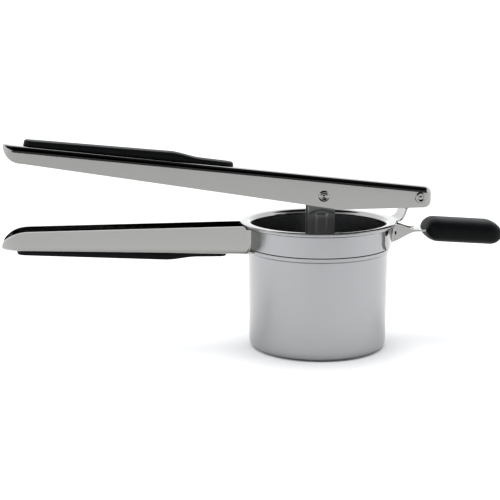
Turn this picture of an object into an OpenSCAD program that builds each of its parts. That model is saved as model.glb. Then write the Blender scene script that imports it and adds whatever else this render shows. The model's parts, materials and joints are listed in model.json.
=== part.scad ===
// Potato ricer: a hopper with a perforated base, a press lever hinged over its rim,
// and a plunger that hangs from the lever and is pushed down through the hopper.
// Origin: on the ground under the hopper's axis. +Z up, handles towards -X, pot rest towards +X.

/* [Hopper] */
// Outer radius of the hopper wall just under its shoulder
hopper_r = 40; // [39.5:0.1:40.5]
// Sheet thickness of the hopper
hopper_sheet = 0.8; // [0.6:0.1:0.9]
// Draft of the hopper wall, in degrees
hopper_draft = 0.5; // [0.3:0.1:0.6]
// Outer radius of the corner between wall and base
hopper_corner_r = 4; // [3:0.5:5]
// Height at which the wall steps out to its shoulder bead
shoulder_z = 56; // [55:0.5:57]
// Outer radius of the flange at the hopper's mouth
flange_r = 44.2; // [43.5:0.1:44.5]
// Radius of each hole in the base
hole_r = 1.5; // [1:0.1:1.8]
// Distance between neighbouring holes
hole_pitch = 5.2; // [4.8:0.1:6]

/* [Collar and rim] */
// Sheet thickness of the collar band
collar_sheet = 0.8; // [0.6:0.1:0.9]
// Height of the collar's lower edge
collar_z = 59.2; // [58.8:0.1:60]
// Outer radius of the rim plate
rim_r = 44.75; // [44.5:0.05:45]
// Height of the rim plate's top face
rim_z = 73.2; // [73:0.1:73.4]
// Sheet thickness of the rim plate
rim_sheet = 0.9; // [0.8:0.1:1]
// Radius of the bend at the rim's inner lip
lip_bend_r = 2.6; // [2.2:0.1:2.8]
// Width of the riser that carries the hinge
riser_w = 15.6; // [14:0.2:15.6]
// Radius of the hinge ears round the hinge pin
ear_r = 3.9; // [3.6:0.1:3.9]

/* [Hinge and pins] */
// Distance of the hinge pin from the hopper's axis
hinge_x = 57.1; // [56.8:0.1:57.4]
// Height of the hinge pin
hinge_z = 86.5; // [86.2:0.1:86.8]
// Distance of the plunger pin from the hopper's axis
plunger_x = 1; // [0:0.1:1.5]
// Height of the plunger pin with the lever closed
plunger_z = 88.6; // [88.2:0.1:89]
// Radius of a pin's shank
pin_r = 2; // [1.8:0.1:2.2]
// Radial running clearance of a pin in what turns on it
pin_play = 0.05; // [0.02:0.01:0.08]
// Radius of a pin's head
pin_head_r = 3.2; // [3:0.1:3.5]

/* [Press lever] */
// Outer width of the lever
lever_w = 20.6; // [20.2:0.1:21]
// Sheet thickness of the lever
lever_sheet = 1.2; // [1:0.1:1.2]
// Slope of the lever's top face with the lever closed, in degrees
lever_slope = 6.75; // [6.6:0.05:6.9]
// Radius of the lever's long top edges
lever_edge_r = 3.5; // [3:0.1:3.8]
// X of the lever's nose
lever_nose_x = -175.8; // [-177:0.2:-174]
// X of the lever's heel, behind the hinge pin
lever_heel_x = 64.5; // [64:0.1:65]

/* [Lower handle] */
// Outer width of the handle
handle_w = 20; // [19:0.5:21]
// Sheet thickness of the handle
handle_sheet = 1.2; // [1:0.1:1.4]
// X of the handle's nose
handle_nose_x = -178.5; // [-180:0.5:-177]
// Height of the handle's top edges
handle_top_z = 72.3; // [72:0.1:72.5]
// Slope of the handle's underside, in degrees
handle_slope = 2.5; // [2.4:0.02:2.7]

/* [Grips] */
// Width of both grips
grip_w = 12; // [11:0.5:13]
// Thickness of a grip near its outer end
grip_tip_t = 3.2; // [2.6:0.1:3.4]
// Thickness of a grip at its finger stop
grip_stop_t = 4.6; // [4:0.1:5]
// Thickness of a grip past its finger stop
grip_tail_t = 2.2; // [1.8:0.1:2.4]

/* [Pot rest] */
// Length of the knob
knob_l = 45.7; // [44:0.1:46]
// Width of the knob
knob_w = 24; // [22:0.5:26]
// Height of the knob
knob_h = 13.8; // [13:0.2:14.4]
// Height of the flat tang's top face
tang_z = 67; // [66.5:0.1:67.5]

/* [Plunger] */
// Outer radius of the pressing disc
disc_r = 36.8; // [36:0.1:36.9]
// Gap under the disc with the lever closed
disc_gap = 0.7; // [0.6:0.1:1.2]
// Width of the fork's legs
fork_w = 15.4; // [14:0.1:15.6]
// Distance between the outer faces of the fork's legs
fork_span = 8; // [7.6:0.2:9]
// Sheet thickness of the fork and the disc
fork_sheet = 1.2; // [1:0.1:1.4]

/* [Hidden] */

$fn = 96;
steel = [0.76, 0.77, 0.78];
polished = [0.86, 0.87, 0.88];
rubber = [0.08, 0.09, 0.1];
nylon = [0.2, 0.2, 0.21];
big = 400;

hopper_base_r = hopper_r - shoulder_z * tan(hopper_draft);
hole_rows = 6;
hole_limit = hopper_base_r - hopper_corner_r - hole_r - 1;
// Hole centres on a triangular grid, none at the middle or near the corner
hole_places = [for (j = [-hole_rows : hole_rows], i = [-9 : 9])
    let(x = (i + (j % 2 == 0 ? 0 : 0.5)) * hole_pitch, y = j * hole_pitch * sqrt(3) / 2)
    if (norm([x, y]) < hole_limit && norm([x, y]) > hole_pitch / 2) [x, y]];
bead_step = 0.8;
bead_top_z = collar_z - 0.2;
flange_z = rim_z - rim_sheet;
bend_centre_z = rim_z - lip_bend_r;
bend_centre_r = hopper_r - hopper_sheet - rim_sheet + lip_bend_r;
lip_drop = 0.2;
riser_bend_r = 3.5;
riser_bend_x = 44.7;
riser_lean = 21;
riser_top_z = 88;
collar_r = hopper_r + collar_sheet;
collar_top_z = bend_centre_z - 0.2;

lever_z0 = 99.7;
lever_inner_w = lever_w - 2 * lever_sheet;
belly_z = 80.7;
belly_x = 10;
nose_r = 10.2;
nose_plan_r = 7;
heel_r = 5.5;
heel_top_r = 3.4;
heel_plan_r = 4.6;

handle_z0 = 54.2;
handle_edge_r = 3;
handle_nose_l = 15;
handle_plan_r = 9;
handle_root_x = -30;
handle_notch_x = [-46, -44.6];
// Start and end of each weld tongue, in degrees from the long axis
handle_tongue = [9, 27];
tongue_z = collar_z + 0.3;
tongue_t = 1.2;
tongue_corner_r = 3;

grip_core_w = 8;
grip_core_t = 1.4;
stud_r = 1.8;
washer_t = 0.8;
stud_places = [-148, -76];
upper_grip_x = [-166, -49.5];
lower_grip_x = [-170.5, -53];
upper_stop_x = -85;
lower_stop_x = -88;

bracket_sheet = 1.1;
bracket_z = 59.5;
bracket_back_x = 33;
bracket_bend_x = 43;
// Start and end of the saddle band that welds the bracket to the collar, in degrees
bracket_tongue = [-38.5, 38.5];
tang_x = [57, 86];
tang_t = bracket_sheet;
tang_w = 12;
knob_x0 = 62.2;
knob_sag = 2.6;
knob_rise = 0.1;
core_x = [66, 98];
core_w = 13;
core_h = 6.6;
core_z = tang_z - tang_t / 2 - core_h / 2;
rest_pin_x = 74;
rest_pin_r = 1.5;

ear_t = 1;
pin_head_t = 0.8;
pin_recess_r = 1.7;
rivet_inner_r = 1.3;
ring_gap = 0.15;

disc_z = hopper_sheet + disc_gap;
disc_t = 1;
disc_bend_r = 2.5;
disc_h = 4;
fork_foot_z = disc_z + disc_t;
foot_rivet_x = 4.5;
foot_rivet_r = 1.5;

// Points of an arc about (cx, cy), from angle a0 to angle a1
function arc(cx, cy, r, a0, a1, n = 8) =
    [for (i = [0 : n]) let(a = a0 + (a1 - a0) * i / n) [cx + r * cos(a), cy + r * sin(a)]];
// Height of the lever's top face over x
function lever_top(x) = lever_z0 - x * tan(lever_slope);
// Height of the handle's underside over x
function handle_under(x) = handle_z0 - x * tan(handle_slope);
// A smooth step from 0 to 1
function ease(t) = (1 - cos(180 * t)) / 2;

// Extrudes an X-Z outline along Y, centred on y = 0
module side_extrude(width) {
    rotate([90, 0, 0]) linear_extrude(width, center = true) children();
}

// Places children in the frame of the lever's sloping top face
module on_lever() {
    translate([0, 0, lever_z0]) rotate([0, lever_slope, 0]) children();
}

// Places children, mirrored downwards, in the frame of the handle's underside
module under_handle() {
    translate([0, 0, handle_z0]) rotate([0, handle_slope, 0]) mirror([0, 0, 1]) children();
}

// Cross-section with two rounded corners at the top, hanging down from y = 0
module rounded_top(width, r) {
    for (s = [-1, 1]) translate([s * (width / 2 - r), -r]) circle(r);
    translate([-width / 2 + r, -r]) square([width - 2 * r, r]);
    translate([-width / 2, -60]) square([width, 60 - r]);
}

// A long bar along X with its two top edges rounded
module rounded_bar(width, r) {
    rotate([90, 0, 90]) linear_extrude(2 * big, center = true) rounded_top(width, r);
}

// Plan outline with rounded corners, r0 at the x0 end and r1 at the x1 end
module plan_bar(x0, x1, width, r0, r1) {
    for (s = [-1, 1]) {
        translate([x0 + r0, s * (width / 2 - r0)]) circle(r0);
        translate([x1 - r1, s * (width / 2 - r1)]) circle(r1);
    }
    translate([x0 + r0, -width / 2]) square([x1 - x0 - r0 - r1, width]);
    translate([x0, -width / 2 + r0]) square([2 * r0, width - 2 * r0]);
    translate([x1 - 2 * r1, -width / 2 + r1]) square([2 * r1, width - 2 * r1]);
}

// A cylinder along Y from y0 to y1
module y_cylinder(x, z, r, y0, y1) {
    translate([x, y0, z]) rotate([-90, 0, 0]) cylinder(h = y1 - y0, r = r);
}

// ---------- hopper, collar and rim ----------

module hopper_section() {
    polygon(concat(
        [[0, 0]],
        arc(hopper_base_r - hopper_corner_r, hopper_corner_r, hopper_corner_r, -90, 0),
        [[hopper_r, shoulder_z],
         [hopper_r + bead_step, shoulder_z + bead_step],
         [hopper_r + bead_step, bead_top_z - bead_step / 2],
         [hopper_r, bead_top_z]],
        arc(bend_centre_r, bend_centre_z, lip_bend_r - rim_sheet - hopper_sheet, 180, 90, 4),
        [[flange_r, flange_z - hopper_sheet],
         [flange_r, flange_z]],
        arc(bend_centre_r, bend_centre_z, lip_bend_r - rim_sheet, 90, 180, 6),
        [[hopper_r - hopper_sheet, bead_top_z],
         [hopper_r + bead_step - hopper_sheet, bead_top_z - bead_step / 2],
         [hopper_r + bead_step - hopper_sheet, shoulder_z + bead_step],
         [hopper_r - hopper_sheet, shoulder_z]],
        arc(hopper_base_r - hopper_corner_r, hopper_corner_r,
            hopper_corner_r - hopper_sheet, 0, -90),
        [[0, hopper_sheet]]));
}

module hopper() {
    color(steel) difference() {
        rotate_extrude() hopper_section();
        translate([0, 0, -1]) linear_extrude(hopper_sheet + 2)
            for (p = hole_places) translate(p) circle(hole_r, $fn = 24);
    }
}

module collar() {
    color(steel) rotate_extrude()
        translate([hopper_r, collar_z]) square([collar_sheet, collar_top_z - collar_z]);
}

module rim_ring() {
    rotate_extrude() polygon(concat(
        [[bend_centre_r - lip_bend_r, bend_centre_z - lip_drop],
         [bend_centre_r - lip_bend_r + rim_sheet, bend_centre_z - lip_drop]],
        arc(bend_centre_r, bend_centre_z, lip_bend_r - rim_sheet, 180, 90, 6),
        [[rim_r, flange_z],
         [rim_r, rim_z]],
        arc(bend_centre_r, bend_centre_z, lip_bend_r, 90, 180, 8)));
}

// Side outline of the strip that bends up off the rim and leans into the lever
module riser_outline() {
    inner_r = riser_bend_r;
    outer_r = riser_bend_r + rim_sheet;
    cx = riser_bend_x;
    cz = rim_z + inner_r;
    top = riser_top_z - cz;
    polygon(concat(
        [[cx - 4.5, rim_z], [cx - 4.5, flange_z]],
        arc(cx, cz, outer_r, -90, -riser_lean, 6),
        [[cx + outer_r / cos(riser_lean) + top * tan(riser_lean), riser_top_z],
         [cx + inner_r / cos(riser_lean) + top * tan(riser_lean), riser_top_z]],
        arc(cx, cz, inner_r, -riser_lean, -90, 6)));
}

module ear_outline() {
    translate([hinge_x, hinge_z]) circle(ear_r);
    polygon([[50, 79.6], [hinge_x, hinge_z - ear_r], [hinge_x, hinge_z + ear_r], [53.2, riser_top_z]]);
}

module rim_plate() {
    color(polished) difference() {
        union() {
            rim_ring();
            side_extrude(riser_w) riser_outline();
            for (s = [-1, 1]) translate([0, s * (riser_w - ear_t) / 2, 0])
                side_extrude(ear_t) ear_outline();
        }
        y_cylinder(hinge_x, hinge_z, pin_r + pin_play, -riser_w, riser_w);
    }
}

module hinge_bush() {
    half = riser_w / 2 - ear_t;
    color(steel) difference() {
        y_cylinder(hinge_x, hinge_z, ear_r - 0.7, -half, half);
        y_cylinder(hinge_x, hinge_z, pin_r + pin_play, -riser_w, riser_w);
    }
}

// ---------- lower handle ----------

// Band hugging the collar between two angles of span, with its lower corners rounded
module weld_tongue(span, side, root = 0) {
    z0 = tongue_z;
    z1 = collar_top_z;
    corner = tongue_corner_r;
    middle = root + side * (span[0] + span[1]) / 2;
    intersection() {
        rotate([0, 0, middle]) rotate([90, 0, 90]) linear_extrude(big) union() {
            half_w = collar_r * sin((span[1] - span[0]) / 2);
            translate([-half_w, z0 + corner]) square([2 * half_w, z1 - z0 - corner]);
            translate([-half_w + corner, z0]) square([2 * half_w - 2 * corner, corner]);
            for (s = [-1, 1]) translate([s * (half_w - corner), z0 + corner]) circle(corner);
        }
        rotate_extrude() translate([collar_r, 0]) square([tongue_t, 100]);
    }
}

module handle_outline() {
    nose_z = handle_under(handle_nose_x) + 0.3;
    polygon(concat(
        [[handle_nose_x, handle_under(handle_nose_x)]],
        [for (a = [0 : 9 : 90]) [handle_nose_x + handle_nose_l * (1 - cos(a)),
            nose_z + (handle_top_z - nose_z) * sin(a)]],
        [[handle_notch_x[0], handle_top_z], [handle_notch_x[1], collar_top_z],
         [handle_root_x, collar_top_z], [handle_root_x, handle_under(handle_root_x)]]));
}

module lower_handle() {
    inner_w = handle_w - 2 * handle_sheet;
    color(polished) difference() {
        union() {
            difference() {
                intersection() {
                    side_extrude(handle_w) handle_outline();
                    under_handle() rounded_bar(handle_w, handle_edge_r);
                    linear_extrude(big) plan_bar(handle_nose_x, 0, handle_w, handle_plan_r, 2);
                }
                intersection() {
                    under_handle() translate([0, 0, -handle_sheet])
                        rounded_bar(inner_w, handle_edge_r - handle_sheet);
                    linear_extrude(big) plan_bar(handle_nose_x + handle_sheet, 5, inner_w,
                        handle_plan_r - handle_sheet, 2);
                }
            }
            for (s = [-1, 1]) weld_tongue(handle_tongue, s, 180);
        }
        cylinder(h = big, r = collar_r);
        under_handle() for (x = stud_places) translate([x, 0, -5]) cylinder(h = 10, r = stud_r);
    }
}

// ---------- grips ----------

// Thickness of a grip at x, for a grip whose finger stop ends at stop_x
function grip_t(x, x0, x1, stop_x) =
    let(step = 18)
    x < stop_x ? grip_tip_t + (grip_stop_t - grip_tip_t) * (x - x0) / (stop_x - x0)
    : x < stop_x + step ? grip_stop_t - (grip_stop_t - grip_tail_t - 0.4) * ease((x - stop_x) / step)
    : grip_tail_t + 0.4 * (x1 - x) / (x1 - stop_x - step);

module grip_pad(x0, x1, stop_x) {
    steps = 24;
    bevel = 2;
    intersection() {
        side_extrude(grip_w) polygon(concat(
            [[x1, 0], [x0, 0]],
            [for (i = [0 : steps]) let(x = x0 + bevel + (x1 - x0 - 1.4 * bevel) * i / steps)
                [x, grip_t(x, x0, x1, stop_x)]]));
        linear_extrude(20) plan_bar(x0, x1, grip_w, 5, 5);
    }
}

module grip_core(x0, x1) {
    linear_extrude(grip_core_t)
        plan_bar(x0 + 4, x1 - 4, grip_core_w, 3, 3);
    for (x = stud_places) translate([x, 0, -lever_sheet - washer_t - 0.6])
        cylinder(h = lever_sheet + washer_t + 0.7, r = stud_r);
}

module grip_washers(sheet) {
    for (x = stud_places) translate([x, 0, -sheet - washer_t]) difference() {
        cylinder(h = washer_t, r = 2 * stud_r);
        translate([0, 0, -1]) cylinder(h = washer_t + 2, r = stud_r);
    }
}

module upper_grip() {
    color(rubber) on_lever() difference() {
        grip_pad(upper_grip_x[0], upper_grip_x[1], upper_stop_x);
        grip_core(upper_grip_x[0], upper_grip_x[1]);
    }
}

module upper_grip_core() {
    color(nylon) on_lever() grip_core(upper_grip_x[0], upper_grip_x[1]);
}

module upper_grip_washers() {
    color(steel) on_lever() grip_washers(lever_sheet);
}

module lower_grip() {
    color(rubber) under_handle() difference() {
        grip_pad(lower_grip_x[0], lower_grip_x[1], lower_stop_x);
        grip_core(lower_grip_x[0], lower_grip_x[1]);
    }
}

module lower_grip_core() {
    color(nylon) under_handle() grip_core(lower_grip_x[0], lower_grip_x[1]);
}

module lower_grip_washers() {
    color(steel) under_handle() grip_washers(handle_sheet);
}

// ---------- pot rest ----------

// Side outline of the bracket's two flanges
module bracket_flange_outline() {
    polygon([[bracket_back_x, bracket_z], [bracket_bend_x, bracket_z], [tang_x[0], tang_z - tang_t],
        [tang_x[0] + 1, tang_z], [tang_x[0] - 4, tang_z + 1.4], [bracket_bend_x - 1, collar_top_z],
        [bracket_back_x, collar_top_z]]);
}

// Side outline of the web between the flanges, which flattens into the tang
module bracket_web_outline() {
    polygon([[bracket_back_x, bracket_z], [bracket_bend_x, bracket_z], [tang_x[0], tang_z - tang_t],
        [tang_x[1], tang_z - tang_t], [tang_x[1], tang_z], [tang_x[0] - 0.6, tang_z],
        [bracket_bend_x - 0.4, bracket_z + bracket_sheet], [bracket_back_x, bracket_z + bracket_sheet]]);
}

module pot_rest_bracket() {
    color(polished) difference() {
        union() {
            side_extrude(tang_w) bracket_web_outline();
            for (s = [-1, 1]) translate([0, s * (tang_w - bracket_sheet) / 2, 0])
                side_extrude(bracket_sheet) bracket_flange_outline();
            weld_tongue(bracket_tongue, 1);
        }
        cylinder(h = big, r = collar_r);
        translate([rest_pin_x, 0, 50]) cylinder(h = 30, r = rest_pin_r);
    }
}

module pot_rest_core_block() {
    translate([core_x[0], -core_w / 2, core_z]) cube([core_x[1] - core_x[0], core_w, core_h]);
}

module pot_rest_pin() {
    color(steel) translate([rest_pin_x, 0, core_z]) cylinder(h = core_h, r = rest_pin_r);
}

module pot_rest_core() {
    color(nylon) difference() {
        pot_rest_core_block();
        translate([tang_x[0], -tang_w / 2, tang_z - tang_t])
            cube([tang_x[1] - tang_x[0], tang_w, tang_t]);
        translate([rest_pin_x, 0, 50]) cylinder(h = 30, r = rest_pin_r);
    }
}

module pot_rest_knob() {
    end_r = knob_h / 2;
    mid_z = tang_z - tang_t / 2 + knob_rise;
    color(rubber) difference() {
        hull() for (s = [-1, 1]) {
            translate([knob_x0 + end_r, s * (knob_w / 2 - end_r), mid_z]) sphere(end_r, $fn = 32);
            translate([knob_x0 + knob_l - end_r, s * (knob_w / 2 - end_r), mid_z - knob_sag])
                sphere(end_r, $fn = 32);
        }
        pot_rest_core_block();
        translate([knob_x0 - 1, -tang_w / 2, tang_z - tang_t])
            cube([core_x[0] - knob_x0 + 1.5, tang_w, tang_t]);
    }
}

// ---------- press lever ----------

// Height of the centre of the rounded corner above the heel
function heel_corner_z(x) = lever_top(x) - heel_top_r / cos(lever_slope);

// Side outline of the lever
module lever_outline() {
    corner_x = lever_heel_x - heel_top_r;
    polygon(concat(
        [[lever_nose_x, lever_top(lever_nose_x)]],
        arc(lever_nose_x + nose_r, lever_top(lever_nose_x) - 0.3, nose_r, 180, 270, 10),
        [[belly_x, belly_z]],
        arc(lever_heel_x - heel_r, belly_z + heel_r, heel_r, 270, 350),
        arc(corner_x, heel_corner_z(corner_x), heel_top_r, 0, 90 - lever_slope, 6)));
}

// Side outline of the space inside the lever, which is open all along its underside
module lever_space_outline() {
    corner_x = lever_heel_x - heel_top_r;
    floor_z = belly_z - 20;
    polygon(concat(
        [[lever_nose_x, 140], [lever_nose_x, floor_z], [lever_heel_x - lever_sheet, floor_z]],
        arc(corner_x, heel_corner_z(corner_x), heel_top_r - lever_sheet, 0, 90 - lever_slope, 6)));
}

module press_lever() {
    color(polished) difference() {
        intersection() {
            side_extrude(lever_w) lever_outline();
            on_lever() rounded_bar(lever_w, lever_edge_r);
            linear_extrude(big)
                plan_bar(lever_nose_x, lever_heel_x, lever_w, nose_plan_r, heel_plan_r);
        }
        intersection() {
            side_extrude(lever_inner_w) lever_space_outline();
            on_lever() translate([0, 0, -lever_sheet])
                rounded_bar(lever_inner_w, lever_edge_r - lever_sheet);
            linear_extrude(big) plan_bar(lever_nose_x + lever_sheet, lever_heel_x - lever_sheet,
                lever_inner_w, nose_plan_r - lever_sheet, heel_plan_r - lever_sheet);
        }
        y_cylinder(hinge_x, hinge_z, pin_r, -lever_w, lever_w);
        y_cylinder(plunger_x, plunger_z, pin_r, -lever_w, lever_w);
        on_lever() for (x = stud_places) translate([x, 0, -5]) cylinder(h = 10, r = stud_r);
    }
}

// ---------- pins ----------

// Near half of a two-piece rivet: a dished head and a plain shank
module rivet(x, z) {
    face = -lever_w / 2;
    color(polished) difference() {
        union() {
            y_cylinder(x, z, pin_head_r, face - pin_head_t, face);
            y_cylinder(x, z, rivet_inner_r, face - 0.1, lever_w / 2 - 2);
        }
        y_cylinder(x, z, pin_recess_r, face - pin_head_t - 1, face - pin_head_t / 2);
    }
}

// Far half of a two-piece rivet: a dished head and the tube that everything turns on
module rivet_socket(x, z) {
    face = lever_w / 2;
    color(polished) difference() {
        union() {
            y_cylinder(x, z, pin_head_r, face, face + pin_head_t);
            y_cylinder(x, z, pin_r, -face, face + 0.1);
        }
        y_cylinder(x, z, pin_recess_r, face + pin_head_t / 2, face + pin_head_t + 1);
        y_cylinder(x, z, rivet_inner_r, -face - 1, face - 2);
    }
}

module hinge_rivet() {
    rivet(hinge_x, hinge_z);
}

module hinge_rivet_socket() {
    rivet_socket(hinge_x, hinge_z);
}

module plunger_rivet() {
    rivet(plunger_x, plunger_z);
}

module plunger_rivet_socket() {
    rivet_socket(plunger_x, plunger_z);
}

// A pair of rings on a pin, from y0 to y1 on both sides
module ring_pair(x, z, r, y0, y1) {
    color(steel) difference() {
        union() {
            y_cylinder(x, z, r, y0, y1);
            y_cylinder(x, z, r, -y1, -y0);
        }
        y_cylinder(x, z, pin_r, -lever_w, lever_w);
    }
}

module hinge_washers() {
    ring_pair(hinge_x, hinge_z, ear_r - 0.7, riser_w / 2 + ring_gap, lever_inner_w / 2 - 0.5);
}

module plunger_spacers() {
    ring_pair(plunger_x, plunger_z, 3.4, fork_span / 2 + ring_gap, lever_inner_w / 2);
}

// ---------- plunger ----------

module fork_leg(side) {
    rib_w = 6;
    rib_proud = 0.8;
    rib_top = 78;
    rib_bottom = 12;
    translate([0, side * (fork_span - fork_sheet) / 2, 0]) {
        side_extrude(fork_sheet) union() {
            translate([plunger_x, plunger_z]) circle(fork_w / 2);
            translate([plunger_x - fork_w / 2, fork_foot_z])
                square([fork_w, plunger_z - fork_foot_z]);
        }
        translate([0, side * (fork_sheet + rib_proud) / 2, 0]) side_extrude(rib_proud) union() {
            translate([plunger_x - rib_w / 2, rib_bottom]) square([rib_w, rib_top - rib_bottom]);
            for (z = [rib_bottom, rib_top]) translate([plunger_x, z]) circle(rib_w / 2);
        }
    }
}

module foot_rivet_holes(r) {
    for (s = [-1, 1]) translate([plunger_x + s * foot_rivet_x, 0, disc_z - 1])
        cylinder(h = 6, r = r);
}

module plunger_fork() {
    color(polished) difference() {
        union() {
            for (s = [-1, 1]) fork_leg(s);
            translate([plunger_x - fork_w / 2, -fork_span / 2, fork_foot_z])
                cube([fork_w, fork_span, fork_sheet]);
        }
        y_cylinder(plunger_x, plunger_z, pin_r + pin_play, -fork_span, fork_span);
        foot_rivet_holes(foot_rivet_r);
    }
}

module plunger_bush() {
    half = fork_span / 2 - fork_sheet;
    color(steel) difference() {
        y_cylinder(plunger_x, plunger_z, 3.5, -half, half);
        y_cylinder(plunger_x, plunger_z, pin_r + pin_play, -fork_span, fork_span);
    }
}

module plunger_disc() {
    flat_r = disc_r - disc_bend_r;
    color(steel) difference() {
        translate([plunger_x, 0, disc_z]) rotate_extrude() polygon(concat(
            [[0, 0]],
            arc(flat_r, disc_bend_r, disc_bend_r, -90, 0),
            [[disc_r, disc_h], [disc_r - disc_t, disc_h]],
            arc(flat_r, disc_bend_r, disc_bend_r - disc_t, 0, -90),
            [[0, disc_t]]));
        foot_rivet_holes(foot_rivet_r);
    }
}

module plunger_disc_rivets() {
    head_r = 2.4;
    color(polished) for (s = [-1, 1]) translate([plunger_x + s * foot_rivet_x, 0, 0]) {
        translate([0, 0, disc_z]) cylinder(h = disc_t + fork_sheet, r = foot_rivet_r);
        translate([0, 0, fork_foot_z + fork_sheet]) cylinder(h = 0.9, r = head_r);
    }
}

hopper();
collar();
rim_plate();
hinge_bush();
lower_handle();
lower_grip();
lower_grip_core();
lower_grip_washers();
pot_rest_bracket();
pot_rest_knob();
pot_rest_core();
pot_rest_pin();
press_lever();
upper_grip();
upper_grip_core();
upper_grip_washers();
hinge_rivet();
hinge_rivet_socket();
hinge_washers();
plunger_rivet();
plunger_rivet_socket();
plunger_spacers();
plunger_fork();
plunger_bush();
plunger_disc();
plunger_disc_rivets();
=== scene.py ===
import json
import math

import bmesh
import bpy
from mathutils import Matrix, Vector


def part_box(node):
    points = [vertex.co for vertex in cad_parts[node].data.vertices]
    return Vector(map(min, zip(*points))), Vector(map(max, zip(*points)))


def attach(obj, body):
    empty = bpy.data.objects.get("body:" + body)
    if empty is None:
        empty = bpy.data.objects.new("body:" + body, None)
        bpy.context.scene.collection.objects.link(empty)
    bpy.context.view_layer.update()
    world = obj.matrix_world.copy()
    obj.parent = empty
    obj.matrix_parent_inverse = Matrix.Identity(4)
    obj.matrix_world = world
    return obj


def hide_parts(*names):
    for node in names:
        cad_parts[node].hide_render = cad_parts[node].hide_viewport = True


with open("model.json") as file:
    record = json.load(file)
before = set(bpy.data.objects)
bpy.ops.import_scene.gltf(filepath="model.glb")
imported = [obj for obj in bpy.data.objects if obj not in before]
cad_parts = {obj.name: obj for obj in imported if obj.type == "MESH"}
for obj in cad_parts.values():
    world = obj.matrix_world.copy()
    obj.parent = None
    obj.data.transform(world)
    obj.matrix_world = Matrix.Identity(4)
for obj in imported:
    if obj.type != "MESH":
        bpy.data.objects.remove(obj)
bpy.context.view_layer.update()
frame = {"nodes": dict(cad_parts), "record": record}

MM = 0.001


# ---------- materials ----------

def new_material(name):
    material = bpy.data.materials.new(name)
    material.use_nodes = True
    nodes = material.node_tree.nodes
    return material, nodes, material.node_tree.links, nodes["Principled BSDF"]


def noise(nodes, links, scale, stretch=(1, 1, 1), detail=4.0):
    """Noise in the row frame, stretched along the axes; returns its Fac output."""
    coords = nodes.new("ShaderNodeTexCoord")
    mapping = nodes.new("ShaderNodeMapping")
    mapping.inputs["Scale"].default_value = stretch
    texture = nodes.new("ShaderNodeTexNoise")
    texture.inputs["Scale"].default_value = scale
    texture.inputs["Detail"].default_value = detail
    links.new(coords.outputs["Object"], mapping.inputs["Vector"])
    links.new(mapping.outputs["Vector"], texture.inputs["Vector"])
    return texture.outputs["Fac"]


def ramp(nodes, links, value, low, high):
    """Maps noise from its usual 0.3..0.7 onto low..high."""
    node = nodes.new("ShaderNodeMapRange")
    node.inputs["From Min"].default_value = 0.3
    node.inputs["From Max"].default_value = 0.7
    node.inputs["To Min"].default_value = low
    node.inputs["To Max"].default_value = high
    links.new(value, node.inputs["Value"])
    return node.outputs["Result"]


def tint(nodes, links, value, dark, light):
    node = nodes.new("ShaderNodeMix")
    node.data_type = "RGBA"
    node.inputs["A"].default_value = (*dark, 1)
    node.inputs["B"].default_value = (*light, 1)
    links.new(value, node.inputs["Factor"])
    return node.outputs["Result"]


def bump(nodes, links, shader, value, strength, distance):
    node = nodes.new("ShaderNodeBump")
    node.inputs["Strength"].default_value = strength
    node.inputs["Distance"].default_value = distance
    links.new(value, node.inputs["Height"])
    links.new(node.outputs["Normal"], shader.inputs["Normal"])


def steel(name, base, roughness, stretch, grain, relief):
    """Stainless steel whose fine grain runs along the axis with the smallest stretch."""
    material, nodes, links, shader = new_material(name)
    shader.inputs["Metallic"].default_value = 1.0
    fine = noise(nodes, links, 900, stretch, 6)
    broad = noise(nodes, links, 30)
    links.new(ramp(nodes, links, fine, roughness - grain, roughness + grain), shader.inputs["Roughness"])
    dark = tuple(0.94 * c for c in base)
    links.new(tint(nodes, links, broad, dark, base), shader.inputs["Base Color"])
    bump(nodes, links, shader, fine, relief, 0.0001)
    return material


def rubber(name):
    material, nodes, links, shader = new_material(name)
    broad = noise(nodes, links, 60)
    fine = noise(nodes, links, 2600)
    links.new(tint(nodes, links, broad, (0.002, 0.0023, 0.0026), (0.004, 0.0045, 0.005)),
              shader.inputs["Base Color"])
    links.new(ramp(nodes, links, fine, 0.4, 0.55), shader.inputs["Roughness"])
    bump(nodes, links, shader, fine, 0.15, 0.0001)
    shader.inputs["Specular IOR Level"].default_value = 0.08
    return material


POLISHED = steel("polished_steel", (0.325, 0.321, 0.31), 0.06, (0.2, 1, 1), 0.02, 0.04)
BRUSHED = steel("brushed_steel", (0.36, 0.364, 0.372), 0.24, (1, 1, 0.1), 0.02, 0.015)
# The fork stands in shade; this rougher, partly non-metallic copy of the steel paints diffuse light onto it,
# which keeps it grey
FORK_PAINTED_LIGHT_STEEL = steel("fork_painted_light_steel", (0.3, 0.3, 0.305), 0.35, (1, 1, 0.1), 0.03, 0.02)
FORK_PAINTED_LIGHT_STEEL.node_tree.nodes["Principled BSDF"].inputs["Metallic"].default_value = 0.6
RUBBER = rubber("black_rubber")
BY_SLOT = {"brushed_sheet": BRUSHED, "polished_sheet": POLISHED, "rivet_steel": POLISHED,
           "inner_steel": BRUSHED, "grip_rubber": RUBBER, "grip_core_plastic": RUBBER}

for row in frame["record"]["subparts"]:
    piece = frame["nodes"][row["node"]]
    piece.data.materials.clear()
    piece.data.materials.append(BY_SLOT[row["material_slot"]])


# ---------- mesh helpers, in millimetres ----------

def box_mm(node):
    return [[1000 * c for c in corner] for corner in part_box(node)]


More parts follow.
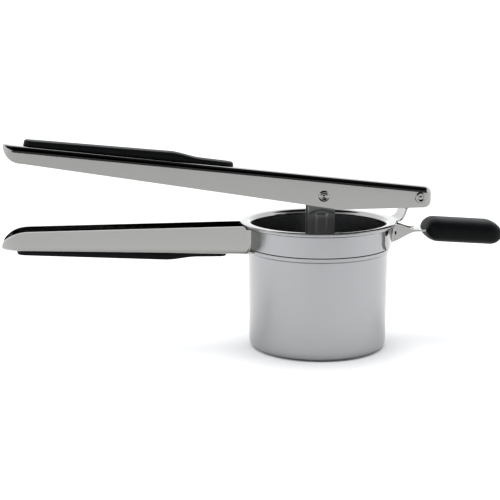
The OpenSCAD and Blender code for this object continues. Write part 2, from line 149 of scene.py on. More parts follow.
def make_piece(name, node, body, slot, verts, faces, bevel=0, sharp=40):
    """A smooth mesh that stands for a CAD node, with its sharp edges rounded by bevel."""
    mesh = bpy.data.meshes.new(name)
    mesh.from_pydata([[c * MM for c in v] for v in verts], [], faces)
    shape = bmesh.new()
    shape.from_mesh(mesh)
    bmesh.ops.remove_doubles(shape, verts=shape.verts, dist=2e-6)
    bmesh.ops.recalc_face_normals(shape, faces=shape.faces)
    shape.to_mesh(mesh)
    shape.free()
    piece = bpy.data.objects.new(name, mesh)
    bpy.context.scene.collection.objects.link(piece)
    mesh.materials.append(BY_SLOT[slot])
    mesh.shade_smooth()
    if bevel:
        rounding = piece.modifiers.new("rounding", "BEVEL")
        rounding.width = bevel * MM
        rounding.segments = 3
        rounding.limit_method = "ANGLE"
        rounding.angle_limit = math.radians(sharp)
        rounding.harden_normals = True
    else:
        mesh.set_sharp_from_angle(angle=math.radians(sharp))
    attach(piece, body)
    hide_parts(node)
    return piece


def sheet_solid(grids):
    """Closed sheet from grids of (outer, inner) point pairs: both skins, and strips round open edges."""
    index, outer, inner, faces = {}, [], [], []

    def vertex(pair):
        key = tuple(round(c, 4) for point in pair for c in point)
        if key not in index:
            index[key] = len(outer)
            outer.append(pair[0])
            inner.append(pair[1])
        return index[key]

    for grid in grids:
        rows = [[vertex(pair) for pair in row] for row in grid]
        for a, b in zip(rows, rows[1:]):
            for i in range(len(a) - 1):
                face = list(dict.fromkeys((a[i], a[i + 1], b[i + 1], b[i])))
                if len(face) > 2:
                    faces.append(face)
    edges = {(a, b) for face in faces for a, b in zip(face, face[1:] + face[:1])}
    n = len(outer)
    strips = [(b, a, a + n, b + n) for a, b in sorted(edges) if (b, a) not in edges]
    skins = faces + [[i + n for i in reversed(face)] for face in faces]
    return outer + inner, skins + strips


def mirrored(grid):
    """The grid's twin on the other side of y = 0, facing the same way."""
    flip = lambda point: (point[0], -point[1], point[2])
    return [[(flip(a), flip(b)) for a, b in reversed(row)] for row in grid]


def upside_down(grids):
    flip = lambda point: (point[0], point[1], -point[2])
    return [[[(flip(a), flip(b)) for a, b in row] for row in grid] for grid in grids]


def revolved(section, steps=128):
    """Solid of revolution about Z from a closed (r, z) section; points at r = 0 stay single."""
    verts, faces, rings = [], [], []
    for r, z in section:
        if r < 1e-6:
            rings.append([len(verts)] * steps)
            verts.append((0, 0, z))
        else:
            rings.append(list(range(len(verts), len(verts) + steps)))
            verts += [(r * math.cos(t), r * math.sin(t), z)
                      for t in (2 * math.pi * i / steps for i in range(steps))]
    for a, b in zip(rings, rings[1:] + rings[:1]):
        for i in range(steps):
            j = (i + 1) % steps
            face = list(dict.fromkeys((a[i], a[j], b[j], b[i])))
            if len(face) > 2:
                faces.append(face)
    return verts, faces


def arc(cx, cy, r, start, end, steps):
    return [(cx + r * math.cos(t), cy + r * math.sin(t))
            for t in (math.radians(start + (end - start) * i / steps) for i in range(steps + 1))]


def spread(start, end, steps):
    return [start + (end - start) * i / steps for i in range(steps + 1)]


def ease(t):
    t = min(1, max(0, t))
    return t * t * (3 - 2 * t)


def prism(outline, y0, y1):
    """An X-Z outline extruded from y0 to y1."""
    n = len(outline)
    verts = [(x, y0, z) for x, z in outline] + [(x, y1, z) for x, z in outline]
    faces = [list(range(n)), list(range(2 * n - 1, n - 1, -1))]
    faces += [(i, i + n, (i + 1) % n + n, (i + 1) % n) for i in range(n)]
    return verts, faces


def joined(*solids):
    verts, faces = [], []
    for v, f in solids:
        faces += [[i + len(verts) for i in face] for face in f]
        verts += v
    return verts, faces


# ---------- pressed channels: the lever and the lower handle ----------

def plan_half(x0, x1, half_w, r0, r1, stops):
    """Plan outline from the middle of the nose to the middle of the far end, along y < 0.

    Each entry is (x, y, inward x, inward y)."""
    points = [(x0, 0, 1, 0), (x0, -(half_w - r0) / 2, 1, 0)]
    for x, y in arc(x0 + r0, -(half_w - r0), r0, 180, 270, 10):
        points.append((x, y, (x0 + r0 - x) / r0, -(half_w - r0 + y) / r0))
    points += [(x, -half_w, 0, 1) for x in stops]
    if r1:
        for x, y in arc(x1 - r1, -(half_w - r1), r1, 270, 360, 8):
            points.append((x, y, (x1 - r1 - x) / r1, -(half_w - r1 + y) / r1))
        points += [(x1, -(half_w - r1) / 2, -1, 0), (x1, 0, -1, 0)]
    return points


def profile(plan, radius, top, low, columns=3, fillet=7, wall=4):
    """Points from the centre line across the flat, round the long edge and down the wall to low(x)."""
    px, py, nx, ny = plan

    def edge(a):
        inset, drop = radius * (1 - math.sin(a)), radius * (1 - math.cos(a))
        x = px + nx * inset
        return x, py + ny * inset, top(x) - drop

    end = math.pi / 2
    cut = edge(end)[2] < low(px) + 0.05
    if cut:
        near, far = 0, end
        for _ in range(30):
            middle = (near + far) / 2
            x, y, z = edge(middle)
            near, far = (middle, far) if z > low(x) else (near, middle)
        end = near
    last = 0.85 * end if cut else end
    x, y, z = edge(0)
    points = [(x, y * i / columns, z) for i in range(columns)]
    points += [edge(last * i / fillet) for i in range(fillet + 1)]
    if cut:
        return points + [edge(last + (end - last) * i / wall) for i in range(1, wall + 1)]
    x, y, z = points[-1]
    return points + [(x, y, z + (low(x) - z) * i / wall) for i in range(1, wall + 1)]


def edge_radius(plan, radius, tip):
    """The long edges' radius, which shrinks to tip round the nose."""
    return tip + (radius - tip) * ease(plan[3] * 1.15) if plan[2] > 0 else radius


LEVER_BOX = box_mm("press_lever")
LEVER_SHEET = 1.2
LEVER_SLOPE = math.radians(6.75)
LEVER_TOP = 99.7
LEVER_NOSE_R = 10.2
LEVER_EDGE_R = 3.5
BELLY_X, BELLY_Z = 10, 80.7
HEEL_R = 5.5


def lever_top(x):
    return LEVER_TOP - x * math.tan(LEVER_SLOPE)


def lever_low(x):
    """Height of the lever's lower edge: nose arc, long slope, flat and heel arc."""
    nose_x = LEVER_BOX[0][0] + LEVER_NOSE_R
    nose_z = lever_top(LEVER_BOX[0][0]) - 0.3
    heel_x = LEVER_BOX[1][0] - HEEL_R
    if x < nose_x:
        return nose_z - math.sqrt(max(0, LEVER_NOSE_R ** 2 - (nose_x - x) ** 2))
    if x < BELLY_X:
        t = (x - nose_x) / (BELLY_X - nose_x)
        return nose_z - LEVER_NOSE_R + t * (BELLY_Z - nose_z + LEVER_NOSE_R)
    if x < heel_x:
        return BELLY_Z
    return BELLY_Z + HEEL_R - math.sqrt(max(0, HEEL_R ** 2 - (x - heel_x) ** 2))


def make_lever():
    x0, x1 = LEVER_BOX[0][0], LEVER_BOX[1][0]
    half_w = LEVER_BOX[1][1]
    stops = spread(x0 + 7.8, x0 + LEVER_NOSE_R, 3) + spread(x0 + 13, BELLY_X, 14)
    stops += spread(BELLY_X + 6, x1 - HEEL_R, 6)
    t = LEVER_SHEET
    outer = plan_half(x0, x1, half_w, 7, 4.6, stops)
    inner = plan_half(x0 + t, x1 - t, half_w - t, 7 - t, 4.6 - t, stops)
    grid = []
    for a, b in zip(outer, inner):
        r = edge_radius(a, LEVER_EDGE_R, 0.9)
        grid.append(list(zip(profile(a, r, lever_top, lever_low),
                             profile(b, max(0.3, r - t), lambda x: lever_top(x) - t, lever_low))))
    verts, faces = sheet_solid([grid, mirrored(grid)])
    make_piece("lever_shell", "press_lever", "lever_body", "polished_sheet", verts, faces, 0.25, 50)


HANDLE_BOX = box_mm("lower_handle")
HANDLE_SHEET = 1.2
HANDLE_SLOPE = math.radians(2.5)
HANDLE_UNDER = 54.2
HANDLE_HALF_W = 10
HANDLE_NOSE_L = 15
HANDLE_EDGE_R = 3
HANDLE_TONGUE_END = 25.5
COLLAR_R = box_mm("collar")[1][0]
COLLAR_TOP = box_mm("collar")[1][2]
TONGUE_Z = box_mm("collar")[0][2] + 0.3
BEND_R = 3


def handle_under(x):
    return HANDLE_UNDER - x * math.tan(HANDLE_SLOPE)


def handle_rim(x):
    """Height of the handle's upper edge: nose arc, then level up to the step under the rim plate."""
    x0 = HANDLE_BOX[0][0]
    full = HANDLE_BOX[1][2]
    z0 = handle_under(x0) + 0.3
    if x < x0 + HANDLE_NOSE_L:
        t = 1 - (x - x0) / HANDLE_NOSE_L
        return z0 + (full - z0) * math.sqrt(max(0, 1 - t * t))
    return full + (COLLAR_TOP - full) * ease((x + 44.2) / 1.1)


def flare(side, half_w, sheet, end_angle):
    """(outer, inner) plan points of a wall at y = -half_w that bends out round the collar."""
    cy = half_w + BEND_R
    reach = COLLAR_R + sheet + BEND_R
    cx = math.sqrt(reach ** 2 - cy ** 2)
    turn = math.degrees(math.atan2(cy, cx))
    bend = zip(arc(cx, -cy, BEND_R, 90, 180 - turn, 8), arc(cx, -cy, BEND_R + sheet, 90, 180 - turn, 8))
    band = zip(arc(0, 0, COLLAR_R + sheet, -turn, -end_angle, 8), arc(0, 0, COLLAR_R, -turn, -end_angle, 8))
    pairs = list(bend) + list(band)[1:]
    return [((side * a[0], a[1]), (side * b[0], b[1])) for a, b in pairs]


def tongue_grid(first_row, pairs, low, high, corner_r):
    """Rows along a flared wall: the first keeps the channel's profile, which then straightens.

    low is the tongue's free lower edge and high(x) its upper edge; its far lower corner is rounded."""
    grid = [first_row]
    n = len(first_row) - 1
    lengths = [0]
    for (a, _), (b, _) in zip(pairs, pairs[1:]):
        lengths.append(lengths[-1] + math.dist(a, b))
    for i, (a, b) in enumerate(pairs[1:], 1):
        left = lengths[-1] - lengths[i]
        lift = corner_r - math.sqrt(max(0, corner_r ** 2 - max(0, corner_r - left) ** 2))
        lift = math.copysign(lift, high - low)
        blend = ease(i / 7)
        row = []
        for j, (p, q) in enumerate(first_row):
            z = low + lift + (high - low - lift) * j / n
            start = pairs[0]
            shift_a = (p[0] - start[0][0], p[1] - start[0][1])
            shift_b = (q[0] - start[1][0], q[1] - start[1][1])
            keep = 1 - blend
            row.append(((a[0] + keep * shift_a[0], a[1] + keep * shift_a[1], z * blend + p[2] * keep),
                        (b[0] + keep * shift_b[0], b[1] + keep * shift_b[1], z * blend + q[2] * keep)))
        grid.append(row)
    return grid


def channel_with_tongues(x0, stops, half_w, nose, radius, tip, sheet, under, rim, side, end_angle, web_end):
    """Grids of an upward-open channel whose walls end in tongues on the collar (built upside down)."""
    columns = 3
    top = lambda x: -under(x)
    low = lambda x: -rim(x)
    outer = plan_half(x0, None, half_w, nose, 0, stops)
    inner = plan_half(x0 + sheet, None, half_w - sheet, nose - sheet, 0, stops)
    grid = []
    for a, b in zip(outer, inner):
        r = edge_radius(a, radius, tip)
        grid.append(list(zip(profile(a, r, top, low, columns),
                             profile(b, max(0.3, r - sheet), lambda x: top(x) - sheet, low, columns))))
    pairs = flare(side, half_w, sheet, end_angle)
    tongue = tongue_grid(grid[-1][columns:], pairs, -TONGUE_Z, -COLLAR_TOP, 4.5)
    web_row = grid[-1][:columns + 1]
    end_row = []
    for p, q in web_row:
        x = side * math.sqrt(web_end ** 2 - p[1] ** 2)
        end_row.append(((x, p[1], top(x)), (x, q[1], top(x) - sheet)))
    web = [web_row, end_row]
    return upside_down([grid, mirrored(grid), tongue, mirrored(tongue), web, mirrored(web)])


def make_handle():
    x0 = HANDLE_BOX[0][0]
    pairs = flare(-1, HANDLE_HALF_W, HANDLE_SHEET, HANDLE_TONGUE_END)
    stops = spread(x0 + 9.8, x0 + HANDLE_NOSE_L, 4) + spread(x0 + 18, -48, 16)
    stops += spread(-47, pairs[0][0][0], 4)
    grids = channel_with_tongues(x0, stops, HANDLE_HALF_W, 9, HANDLE_EDGE_R, 0.9, HANDLE_SHEET,
                                 handle_under, handle_rim, -1, HANDLE_TONGUE_END, COLLAR_R)
    verts, faces = sheet_solid(grids)
    make_piece("handle_shell", "lower_handle", "hopper_body", "polished_sheet", verts, faces, 0.25, 50)


# ---------- rim plate with the hinge riser ----------

RIM_BOX = box_mm("rim_plate")
RIM_R = -RIM_BOX[0][0]
RIM_SHEET = 0.9
RIM_Z = 73.2
LIP_R = 2.6
LIP_Z = RIM_BOX[0][2]
RISER_HALF_W = 7.8
EAR_R = 3.9
HINGE = ((box_mm("hinge_rivet")[0][0] + box_mm("hinge_rivet")[1][0]) / 2,
         (box_mm("hinge_rivet")[0][2] + box_mm("hinge_rivet")[1][2]) / 2)
RISER_BEND_X, RISER_BEND_R = 44.7, 3.5
RISER_LEAN = 21
RISER_TOP = 88


def riser_path():
    """(distance, upper point, lower point) along the strip that bends off the ring and leans over."""
    cx, cz = RISER_BEND_X, RIM_Z + RISER_BEND_R
    path = [(d, (cx - 4.5 + d, RIM_Z), (cx - 4.5 + d, RIM_Z - RIM_SHEET)) for d in spread(0, 4.5, 6)]
    for a in spread(-90, -RISER_LEAN, 12)[1:]:
        c, s = math.cos(math.radians(a)), math.sin(math.radians(a))
        d = 4.5 + math.radians(a + 90) * RISER_BEND_R
        outer_r = RISER_BEND_R + RIM_SHEET
        path.append((d, (cx + RISER_BEND_R * c, cz + RISER_BEND_R * s), (cx + outer_r * c, cz + outer_r * s)))
    bend_end = path[-1]
    lean = math.radians(RISER_LEAN)
    reach = (RISER_TOP - bend_end[1][1]) / math.cos(lean)
    for e in spread(0, reach, 9)[1:]:
        step = (e * math.sin(lean), e * math.cos(lean))
        path.append((bend_end[0] + e, (bend_end[1][0] + step[0], bend_end[1][1] + step[1]),
                     (bend_end[2][0] + step[0], bend_end[2][1] + step[1])))
    return path


def make_rim():
    centre_r, centre_z = COLLAR_R - 0.8 - 0.8 - RIM_SHEET + LIP_R, RIM_Z - LIP_R
    round_r = RIM_SHEET / 2
    section = [(centre_r - LIP_R + 0.2, LIP_Z), (centre_r - LIP_R, LIP_Z + 0.2)]
    section += arc(centre_r, centre_z, LIP_R, 180, 90, 12)
    section += arc(RIM_R - round_r, RIM_Z - round_r, round_r, 90, -90, 8)
    section += arc(centre_r, centre_z, LIP_R - RIM_SHEET, 90, 180, 8)
    section += [(centre_r - LIP_R + RIM_SHEET, LIP_Z + 0.2), (centre_r - LIP_R + RIM_SHEET - 0.2, LIP_Z)]
    ring = revolved(section, 180)

    # Each side of the strip runs out onto the ring in a fillet, and its foot follows the ring's edge
    side_r = 4.5
    grid = []
    for d, upper, lower in riser_path():
        left = max(0, side_r - max(0, d - 3.5))
        half = RISER_HALF_W + side_r - math.sqrt(max(0, side_r ** 2 - left ** 2))
        bow = 1 - ease((d - 3) / 7)
        row = []
        for y in spread(-half, half, 16):
            shift = (math.sqrt(RIM_R ** 2 - y ** 2) - RIM_R) * bow
            row.append(((lower[0] + shift, y, lower[1]), (upper[0] + shift, y, upper[1] + 0.02 * bow)))
        grid.append(row)
    riser = sheet_solid([grid])
    hx, hz = HINGE
    ear = [(50, 79.6)] + arc(hx, hz, EAR_R, -90, 90, 12) + [(53.2, RISER_TOP - 0.1)]
    ears = [prism(ear, *sorted((side * RISER_HALF_W, side * (RISER_HALF_W - 1)))) for side in (-1, 1)]
    verts, faces = joined(ring, riser, *ears)
    make_piece("rim_and_riser", "rim_plate", "hopper_body", "polished_sheet", verts, faces, 0.2, 55)


# ---------- pot rest ----------

KNOB_BOX = box_mm("pot_rest_knob")
TANG_TOP = 67.0
TANG_SHEET = 1.1
BRACKET_HALF_W = 6
BRACKET_Z = 59.5
TANG_START = 57


def make_bracket():
    """Channel open at the top that rises from the collar and flattens into the tang."""
    sheet = TANG_SHEET
    under_end = TANG_TOP - sheet
    pairs = flare(1, BRACKET_HALF_W, sheet, 38.5)
    start_x = pairs[0][0][0]

    def under(x):
        return BRACKET_Z + (under_end - BRACKET_Z) * ease((x - start_x + 4) / (TANG_START - start_x + 5))

    def rim(x):
        t = (x - start_x) / (TANG_START + 1 - start_x)
        return COLLAR_TOP + (TANG_TOP - COLLAR_TOP) * ease(t)

    grid = []
    for x in spread(start_x, TANG_START + 1, 12):
        z0, z1 = under(x), rim(x)
        h = z1 - z0
        r = min(1.6, 0.9 * h)
        row = [((x, 0, z0), (x, 0, z0 + sheet)), ((x, -2, z0), (x, -2, z0 + sheet))]
        ri = max(0.25, r - sheet)
        inner_w = BRACKET_HALF_W - sheet
        outer_arc = arc(-(BRACKET_HALF_W - r), z0 + r, r, 270, 180, 6)
        inner_arc = arc(-(inner_w - ri), z0 + sheet + ri, ri, 270, 180, 6)
        for (ya, za), (yb, zb) in zip(outer_arc, inner_arc):
            row.append(((x, ya, min(za, z1)), (x, yb, min(zb, max(z1, z0 + sheet)))))
        for i in range(1, 4):
            za = z0 + r + (z1 - z0 - r) * i / 3
            low = z0 + sheet + ri
            row.append(((x, -BRACKET_HALF_W, za), (x, -inner_w, low + (max(z1, low) - low) * i / 3)))
        grid.append(row)
    tongue = tongue_grid(grid[0][2:], pairs, TONGUE_Z, COLLAR_TOP, 3)
    body_row = grid[0][:3]
    end_row = []
    for p, q in body_row:
        x = math.sqrt(COLLAR_R ** 2 - p[1] ** 2)
        end_row.append(((x, p[1], p[2]), (x, q[1], q[2])))
    web = [body_row, end_row]
    shell = sheet_solid([grid, mirrored(grid), tongue, mirrored(tongue), web, mirrored(web)])
    tang_end = box_mm("pot_rest_bracket")[1][0]
    tang = prism([(TANG_START - 1, under_end), (tang_end, under_end), (tang_end, TANG_TOP),
                  (TANG_START - 1, TANG_TOP)], -BRACKET_HALF_W + 0.2, BRACKET_HALF_W - 0.2)
    verts, faces = joined(shell, tang)
    make_piece("rest_bracket", "pot_rest_bracket", "hopper_body", "polished_sheet", verts, faces, 0.2, 50)


def make_knob():
    """Plump flattened knob, with a mouth across its inner end where the tang goes in."""
    (x0, y0, z0), (x1, y1, z1) = KNOB_BOX
    half_h, half_w, sag = 6.9, y1, 2.6
    end_r = 7.5
    rings, verts, faces = [], [], []
    n = 64
    stations = [x0 + end_r * (1 - math.cos(a)) for a in spread(0.12, math.pi / 2, 14)]
    stations += spread(x0 + end_r + 2, x1 - end_r - 2, 12)
    stations += [x1 - end_r * (1 - math.cos(a)) for a in spread(math.pi / 2, 0.12, 14)]
    mid0 = z1 - half_h
    for x in stations:
        d = min(1, min(x - x0, x1 - x) / end_r)
        bulge = math.sqrt(max(0, 1 - (1 - d) ** 2))
        h = half_h * bulge
        w = half_w - 6.5 + 6.5 * bulge
        mid = mid0 - sag * max(0, (x - x0 - 6.5) / (x1 - x0 - 13))
        ring = []
        for i in range(n):
            a = 2 * math.pi * i / n
            c, s = math.cos(a), math.sin(a)
            power = 2 / 2.8
            ring.append(len(verts))
            y = w * math.copysign(abs(c) ** power, c)
            verts.append((x, y, mid + h * math.copysign(abs(s) ** power, s)))
        rings.append(ring)
    for a, b in zip(rings, rings[1:]):
        faces += [(a[i], a[(i + 1) % n], b[(i + 1) % n], b[i]) for i in range(n)]
    faces += [rings[0][::-1], rings[-1]]
    knob = make_piece("rest_knob", "pot_rest_knob", "hopper_body", "grip_rubber", verts, faces, 0, 40)
    mouth = [(x0 - 2, TANG_TOP + 5.2), (x0 + 3, TANG_TOP + 0.1), (x0 + 4, TANG_TOP + 0.1),
             (x0 + 4, TANG_TOP - TANG_SHEET - 0.1), (x0 - 2, TANG_TOP - TANG_SHEET - 0.1)]
    v, f = prism(mouth, -20, 20)
    mesh = bpy.data.meshes.new("mouth")
    mesh.from_pydata([[c * MM for c in p] for p in v], [], f)
    cutter = bpy.data.objects.new("mouth", mesh)
    bpy.context.scene.collection.objects.link(cutter)
    cut = knob.modifiers.new("mouth", "BOOLEAN")
    cut.object = cutter
    cut.solver = "EXACT"
    rounding = knob.modifiers.new("rounding", "BEVEL")
    rounding.width = 0.5 * MM
    rounding.segments = 3
    rounding.limit_method = "ANGLE"
    rounding.angle_limit = math.radians(35)
    rounding.harden_normals = True
    shape = bpy.data.meshes.new_from_object(knob.evaluated_get(bpy.context.evaluated_depsgraph_get()))
    knob.modifiers.clear()
    knob.data = shape
    shape.shade_smooth()
    shape.set_sharp_from_angle(angle=math.radians(50))
    bpy.data.objects.remove(cutter)


# ---------- grips ----------

def grip_thickness(x, x0, x1, stop):
    """Thickness along a grip: swells to its finger stop, then drops to a thin tail."""
    tip, full, tail, step = 3.1, 4.6, 2.2, 18
    if x < stop:
        return tip + (full - tip) * (x - x0) / (stop - x0)
    if x < stop + step:
        return full - (full - tail - 0.4) * ease((x - stop) / step)
    return tail + 0.4 * (x1 - x) / (x1 - stop - step)


def make_grip(name, node, body, x0, x1, stop, place):
    """Rubber pad with a rounded outline, soft top edges and a slight crown; place maps it onto its lever."""
    half_w, corner, edge, crown = 6, 5, 1.2, 0.35
    stops = spread(x0 + corner + 1, stop - 6, 10) + spread(stop - 4, stop + 22, 16)
    stops += spread(stop + 24, x1 - corner - 1, 4)
    half = plan_half(x0, x1, half_w, corner, corner, stops)
    outline = half + [(x, -y, nx, -ny) for x, y, nx, ny in reversed(half[1:-1])]
    verts, faces, rings = [], [], []
    levels = [("foot", 0.2), ("low", 0.05)] + [("edge", a) for a in spread(0, math.pi / 2, 7)]
    for kind, value in levels:
        ring = []
        for x, y, nx, ny in outline:
            if kind == "foot":
                inset, z = value, 0
            elif kind == "low":
                inset, z = value, 0.3
            else:
                inset = 0.25 + edge * (1 - math.cos(value))
                z = None
            px, py = x + nx * inset, y + ny * inset
            if z is None:
                side = 1 - (abs(py) / half_w) ** 2
                z = grip_thickness(px, x0, x1, stop) - crown * (1 - side) - edge * (1 - math.sin(value))
            ring.append(len(verts))
            verts.append(place(px, py, z))
        rings.append(ring)
    n = len(outline)
    for a, b in zip(rings, rings[1:]):
        faces += [(a[i], a[(i + 1) % n], b[(i + 1) % n], b[i]) for i in range(n)]
    last, first = rings[-1], rings[0]
    columns = 8
    plan_last = []
    for x, y, nx, ny in outline:
        inset = 0.25 + edge
        plan_last.append((x + nx * inset, y + ny * inset))
    m = len(half) - 1
    previous = None
    for k in range(m + 1):
        a, b = k, (2 * m - k) % (2 * m)
        if a == b:
            row = [last[a]] * (columns + 1)
        else:
            row = [last[a]]
            for c in range(1, columns):
                t = c / columns
                px = plan_last[a][0]
                py = plan_last[a][1] + (plan_last[b][1] - plan_last[a][1]) * t
                z = grip_thickness(px, x0, x1, stop) - crown * (abs(py) / half_w) ** 2
                row.append(len(verts))
                verts.append(place(px, py, z))
            row.append(last[b])
        if previous:
            for c in range(columns):
                face = list(dict.fromkeys((previous[c], previous[c + 1], row[c + 1], row[c])))
                if len(face) > 2:
                    faces.append(face)
        previous = row
    for k in range(m):
        face = list(dict.fromkeys((first[k], first[k + 1], first[(2 * m - k - 1) % (2 * m)],
                                   first[(2 * m - k) % (2 * m)])))
        faces.append(face)
    make_piece(name, node, body, "grip_rubber", verts, faces, 0, 60)


def on_lever(x, y, z):
    c, s = math.cos(LEVER_SLOPE), math.sin(LEVER_SLOPE)
    return x * c + z * s, y, LEVER_TOP - x * s + z * c


def under_handle(x, y, z):
    c, s = math.cos(HANDLE_SLOPE), math.sin(HANDLE_SLOPE)
    return x * c - z * s, y, HANDLE_UNDER - x * s - z * c


# ---------- rivets ----------

HEAD = [(0, 0.42), (0.45, 0.4), (0.85, 0.16), (1.35, 0.16), (1.65, 0.34), (1.85, 0.66), (2.1, 0.8),
        (2.45, 0.78), (2.85, 0.62), (3.12, 0.34), (3.2, 0)]


def make_rivet(name, node, side, shank):
    """Turned rivet half along Y: a dished head outside the lever's wall and its shank inside."""
    (x0, _, z0), (x1, _, z1) = box_mm(node)
    cx, cz = (x0 + x1) / 2, (z0 + z1) / 2
    face = LEVER_BOX[1][1]
    verts, faces = revolved(HEAD + shank, 64)
    verts = [(cx + x, side * (face + z), cz + y) for x, y, z in verts]
    make_piece(name, node, "lever_body", "rivet_steel", verts, faces, 0, 35)


def make_rivets():
    depth = 2 * LEVER_BOX[1][1]
    pin = [(1.3, 0), (1.3, -depth + 2), (0, -depth + 2)]
    tube = [(2, 0), (2, -depth), (1.3, -depth), (1.3, -2), (0, -2)]
    for node in ("hinge_rivet", "plunger_rivet"):
        make_rivet(node + "_head", node, -1, pin)
        make_rivet(node + "_socket_head", node + "_socket", 1, tube)


# ---------- plunger fork ----------

FORK_BOX = box_mm("plunger_fork")
FORK_SHEET = 1.2


def make_fork():
    """Strap bent to a U: round ends about the pin, a pressed step under them and a rib down each leg."""
    (x0, _, foot_z), (x1, _, _) = FORK_BOX
    px = (x0 + x1) / 2
    half_w = (x1 - x0) / 2
    rib = 0.8
    span = FORK_BOX[1][1] - rib
    pz = (box_mm("plunger_rivet")[0][2] + box_mm("plunger_rivet")[1][2]) / 2
    bend = 2.4

    def pressed(x, z):
        """How far the leg's sheet stands out at x, z: less below the curved step, more on the rib."""
        line = 79.6 - 0.035 * (x - px) ** 2
        below = ease((line - z + 0.5) / 1.0)
        ridge = ease((3.5 - abs(x - px)) / 1.0) * ease((z - 11) / 2) * ease((line - 1 - z) / 2)
        return 0.1 - 0.3 * below + 0.7 * ridge

    stations = [(pz + half_w * math.cos(a), half_w * math.sin(a)) for a in spread(0.15, math.pi / 2, 10)]
    heights = spread(pz - 2, 83, 2) + spread(82.5, 75, 15) + spread(72, 16, 8) + spread(14, 9, 5)
    stations += [(z, half_w) for z in heights if z > foot_z + bend]
    leg = []
    for z, w in stations:
        row = []
        for t in spread(-1, 1, 28):
            x = px + t * w
            out = pressed(x, z)
            row.append(((x, -span - out, z), (x, -span + FORK_SHEET - out, z)))
        leg.append(row)
    for a in spread(180, 270, 6):
        c, s = math.cos(math.radians(a)), math.sin(math.radians(a))
        row = []
        for t in spread(-1, 1, 28):
            x = px + t * half_w
            row.append(((x, -span + bend + bend * c, foot_z + bend + bend * s),
                        (x, -span + bend + (bend - FORK_SHEET) * c, foot_z + bend + (bend - FORK_SHEET) * s)))
        leg.append(row)
    foot = [((x, 0, foot_z), (x, 0, foot_z + FORK_SHEET)) for x in [a[0] for a, _ in leg[-1]]]
    leg.append(foot)
    verts, faces = sheet_solid([leg, mirrored(leg)])
    fork = make_piece("fork_strap", "plunger_fork", "plunger_body", "polished_sheet", verts, faces, 0.15, 55)
    # The fork's steel is swapped for the partly diffuse copy that paints light onto it in shade
    fork.data.materials[0] = FORK_PAINTED_LIGHT_STEEL


make_lever()
make_handle()
make_rim()
make_bracket()
make_knob()
make_grip("upper_pad", "upper_grip", "lever_body", -166, -49.5, -85, on_lever)
make_grip("lower_pad", "lower_grip", "hopper_body", -170.5, -53, -88, under_handle)
make_rivets()
make_fork()


# ---------- floor, light and camera ----------

def make_floor():
    bpy.ops.mesh.primitive_plane_add(size=40)
    floor = bpy.context.object
    floor.name = "floor"
    material, nodes, links, shader = new_material("floor_paint")
    shader.inputs["Base Color"].default_value = (0.9, 0.9, 0.9, 1)
    shader.inputs["Roughness"].default_value = 0.9
    shader.inputs["Specular IOR Level"].default_value = 0.1
    floor.data.materials.append(material)


def add_light(name, kind, place, aim, energy):
    """A soft light that only lights the scene: steel doesn't mirror its outline."""
    data = bpy.data.lights.new(name, kind)
    data.energy = energy
    lamp = bpy.data.objects.new(name, data)
    lamp.location = place
    lamp.rotation_euler = (Vector(aim) - Vector(place)).to_track_quat("-Z", "Y").to_euler()
    lamp.visible_glossy = False
    lamp.visible_camera = False
    bpy.context.scene.collection.objects.link(lamp)
    return data


def make_lights():
    sun = add_light("sky_panel", "SUN", (0, 0, 2), (0.1, 0.25, 0), 2.0)
    sun.angle = math.radians(70)
    bank = add_light("ceiling_bank", "AREA", (0, 3.1, 1.1), (0, 3.1, 0), 45)
    bank.shape = "RECTANGLE"
    bank.size, bank.size_y = 7, 7
    bank.spread = math.radians(50)


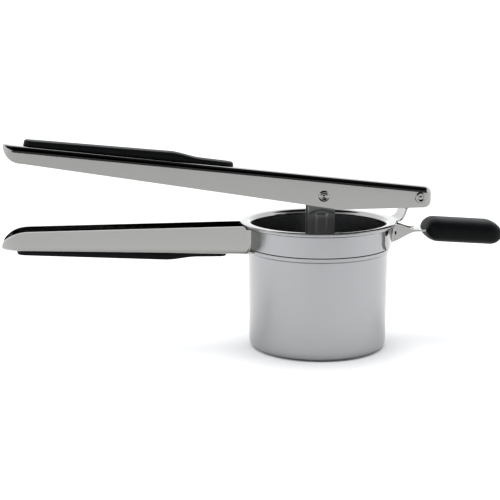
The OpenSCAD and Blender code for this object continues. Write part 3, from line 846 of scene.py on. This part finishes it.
def make_world():
    """A plain studio: panels all round up to the ceiling, which is dark."""
    world = bpy.data.worlds.new("studio")
    bpy.context.scene.world = world
    world.use_nodes = True
    nodes, links = world.node_tree.nodes, world.node_tree.links
    coords = nodes.new("ShaderNodeTexCoord")
    split = nodes.new("ShaderNodeSeparateXYZ")
    links.new(coords.outputs["Generated"], split.inputs["Vector"])
    # Turn from the back (0) through the left (0.25), the front (0.5) and the right (0.75)
    turn = nodes.new("ShaderNodeMath")
    turn.operation = "ARCTAN2"
    links.new(split.outputs["X"], turn.inputs[0])
    flip = nodes.new("ShaderNodeMath")
    flip.operation = "MULTIPLY"
    flip.inputs[1].default_value = -1
    links.new(split.outputs["Y"], flip.inputs[0])
    links.new(flip.outputs["Value"], turn.inputs[1])
    place = nodes.new("ShaderNodeMapRange")
    place.inputs["From Min"].default_value = -math.pi
    place.inputs["From Max"].default_value = math.pi
    links.new(turn.outputs["Value"], place.inputs["Value"])
    panels = nodes.new("ShaderNodeValToRGB")
    stops = [(0, 0.8), (0.2, 0.85), (0.38, 0.6), (0.44, 0.05),
             (0.63, 0.04), (0.645, 0.85), (0.8, 0.8), (1, 0.8)]
    for turned, level in stops[1:-1]:
        panels.color_ramp.elements.new(turned)
    for stop, (turned, level) in zip(panels.color_ramp.elements, stops):
        stop.position = turned
        stop.color = (0.98 * level, level, 1.02 * level, 1)
    links.new(place.outputs["Result"], panels.inputs["Fac"])
    # The ceiling starts lower in front than behind
    tilt = nodes.new("ShaderNodeMath")
    tilt.operation = "MULTIPLY_ADD"
    tilt.inputs[1].default_value = -0.268
    links.new(split.outputs["Y"], tilt.inputs[0])
    links.new(split.outputs["Z"], tilt.inputs[2])
    ceiling = nodes.new("ShaderNodeMapRange")
    ceiling.inputs["From Min"].default_value = 0.66
    ceiling.inputs["From Max"].default_value = 0.74
    ceiling.inputs["To Min"].default_value = 2.0
    ceiling.inputs["To Max"].default_value = 0.03
    links.new(tilt.outputs["Value"], ceiling.inputs["Value"])
    links.new(panels.outputs["Color"], nodes["Background"].inputs["Color"])
    links.new(ceiling.outputs["Result"], nodes["Background"].inputs["Strength"])


def make_camera():
    azimuth, elevation = math.radians(-8.5), math.radians(11.42)
    target, distance = Vector((-0.0387, 0.0058, 0.0557)), 0.7
    back = Vector((math.sin(azimuth) * math.cos(elevation),
                   -math.cos(azimuth) * math.cos(elevation), math.sin(elevation)))
    data = bpy.data.cameras.new("camera")
    data.sensor_width = 36
    data.lens = 87.5
    camera = bpy.data.objects.new("camera", data)
    camera.location = target + distance * back
    camera.rotation_euler = back.to_track_quat("Z", "Y").to_euler()
    bpy.context.scene.collection.objects.link(camera)
    bpy.context.scene.camera = camera


make_floor()
make_world()
make_lights()
make_camera()
bpy.context.scene.view_settings.view_transform = "Standard"
